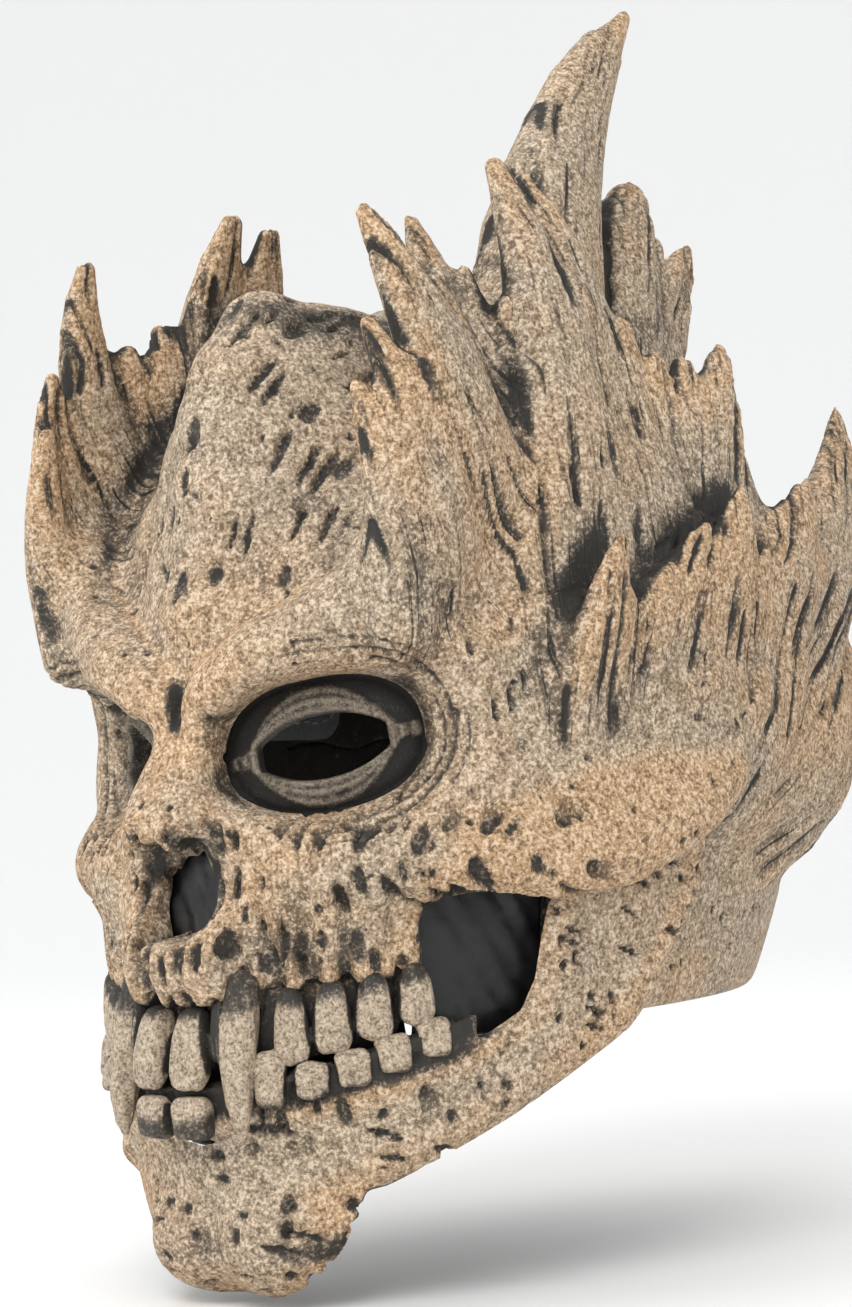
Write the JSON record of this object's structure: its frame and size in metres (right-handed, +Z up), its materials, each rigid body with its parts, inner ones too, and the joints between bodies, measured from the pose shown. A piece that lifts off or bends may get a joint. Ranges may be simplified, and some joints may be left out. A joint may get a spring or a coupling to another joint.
{
  "type": "latex halloween mask",
  "caption": "Full-head horned skull mask of cast latex with banks of bone flames, fanged teeth, sunken eye openings, foam-padded inside and a hinged, sprung lower jaw.",
  "frame": {"origin": "centre of the wearer's head cavity, at the height of the eyes, on the middle plane", "axes": "+Z up the head, -Y the way the face looks, +X the wearer's left"},
  "size_m": [0.1888, 0.2833, 0.3661],
  "materials": {
    "latex_bone": "matt, sealed latex paint",
    "latex_teeth": "satin",
    "latex_lid": "matt dry-brushed",
    "gauze": "black open weave",
    "foam": "matt foam",
    "elastic": "woven elastic",
    "steel": "brushed",
    "nylon": "natural"
  },
  "bodies": {
    "skull": {"skull_shell": "latex_bone", "rear_crest": "latex_bone", "upper_crest_left": "latex_bone", "middle_crest_left": "latex_bone", "lower_crest_left": "latex_bone", "eyelid_left": "latex_lid", "cheek_gauze_left": "gauze", "upper_fang_left": "latex_teeth", "upper_cheek_teeth_left": "latex_teeth", "temple_pad_left": "foam", "jaw_post_left": "steel", "jaw_screw_left": "steel", "jaw_washer_left": "nylon", "jaw_elastic_left": "elastic", "skull_rivet_left": "steel", "upper_crest_right": "latex_bone", "middle_crest_right": "latex_bone", "lower_crest_right": "latex_bone", "eyelid_right": "latex_lid", "cheek_gauze_right": "gauze", "upper_fang_right": "latex_teeth", "upper_cheek_teeth_right": "latex_teeth", "temple_pad_right": "foam", "jaw_post_right": "steel", "jaw_screw_right": "steel", "jaw_washer_right": "nylon", "jaw_elastic_right": "elastic", "skull_rivet_right": "steel", "upper_incisors": "latex_teeth", "nose_gauze": "gauze", "forehead_pad": "foam", "crown_pad": "foam", "nape_pad": "foam"},
    "jaw": {"jaw_shell": "latex_bone", "lower_incisors": "latex_teeth", "chin_cup": "foam", "lower_cheek_teeth_left": "latex_teeth", "jaw_rivet_left": "steel", "lower_cheek_teeth_right": "latex_teeth", "jaw_rivet_right": "steel"}
  },
  "joints": [
    {"name": "jaw_hinge", "type": "hinge", "parent": "skull", "child": "jaw", "pos_m": [0, -0.016, -0.027], "axis": [1, 0, 0], "range_deg": [0, 10], "stiffness_Nm_per_rad": 0.4, "springref_deg": -17.19, "deforming": ["jaw_elastic_left", "jaw_elastic_right"]}
  ]
}
